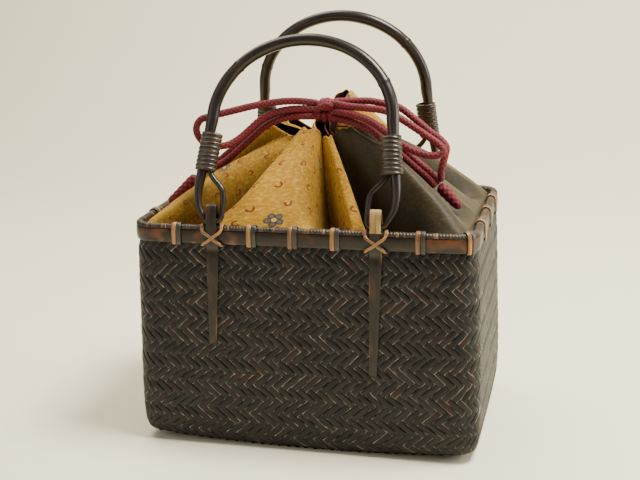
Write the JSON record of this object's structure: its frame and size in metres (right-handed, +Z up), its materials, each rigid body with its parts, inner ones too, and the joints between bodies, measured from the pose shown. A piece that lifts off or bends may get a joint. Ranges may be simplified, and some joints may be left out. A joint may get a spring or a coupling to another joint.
{
  "type": "basket bag",
  "caption": "Rectangular plaited bamboo handbag with a bound rim, swing handles on strap loops and a gathered two-cloth pouch closed by a bowed drawstring.",
  "frame": {"origin": "on the floor under the middle of the basket", "axes": "+Z up, +X to the right seen from the front, front faces -Y"},
  "size_m": [0.289, 0.1852, 0.3485],
  "materials": {
    "plait": "smoked split bamboo, satin",
    "band": "smoked bamboo strip, satin",
    "cane": "rattan binding, satin",
    "rod": "near-black bent rod, semi-gloss",
    "lashing": "dark rattan lashing, semi-gloss",
    "printed_cloth": "printed cotton, matt",
    "plain_cloth": "plain cloth, soft sheen",
    "braid": "braided cord, matt"
  },
  "bodies": {
    "root": {"basket_body": "plait", "rim_band_outer": "band", "rim_band_inner": "band", "rim_roll": "cane", "rim_tie_01": "cane", "rim_tie_02": "cane", "rim_tie_03": "cane", "rim_tie_04": "cane", "rim_tie_05": "cane", "rim_tie_06": "cane", "rim_tie_07": "cane", "rim_tie_08": "cane", "rim_tie_09": "cane", "rim_tie_10": "cane", "rim_tie_11": "cane", "rim_tie_12": "cane", "rim_tie_13": "cane", "rim_tie_14": "cane", "rim_tie_15": "cane", "rim_tie_16": "cane", "rim_tie_17": "cane", "rim_tie_18": "cane", "strap_front_left": "band", "strap_front_right": "band", "strap_back_left": "band", "strap_back_right": "band", "cross_tie_front_left": "cane", "cross_tie_front_right": "cane", "cross_tie_back_left": "cane", "cross_tie_back_right": "cane", "pouch_print": "printed_cloth", "pouch_plain": "plain_cloth", "bow_knot": "braid", "end_knot_left": "braid", "end_knot_right": "braid", "thread_loop_narrow_fold": "braid", "thread_loop_plain_fold": "braid", "cord_bow_left": "braid", "cord_bow_right": "braid", "cord_tail_left_front": "braid", "cord_tail_left_back": "braid", "cord_tail_right_over": "braid", "cord_tail_right_front": "braid", "cord_tail_right_back": "braid"},
    "handle_front": {"handle_front": "rod", "lashing_front_left": "lashing", "lashing_front_right": "lashing"},
    "handle_back": {"handle_back": "rod", "lashing_back_left": "lashing", "lashing_back_right": "lashing"}
  },
  "joints": [
    {"name": "front_handle_hinge", "type": "hinge", "parent": "root", "child": "handle_front", "pos_m": [-0.0038, -0.0855, 0.1947], "axis": [1, 0, 0], "range_deg": [0, 112]},
    {"name": "back_handle_hinge", "type": "hinge", "parent": "root", "child": "handle_back", "pos_m": [0.0034, 0.0855, 0.1947], "axis": [-1, 0, 0], "range_deg": [0, 95]}
  ]
}
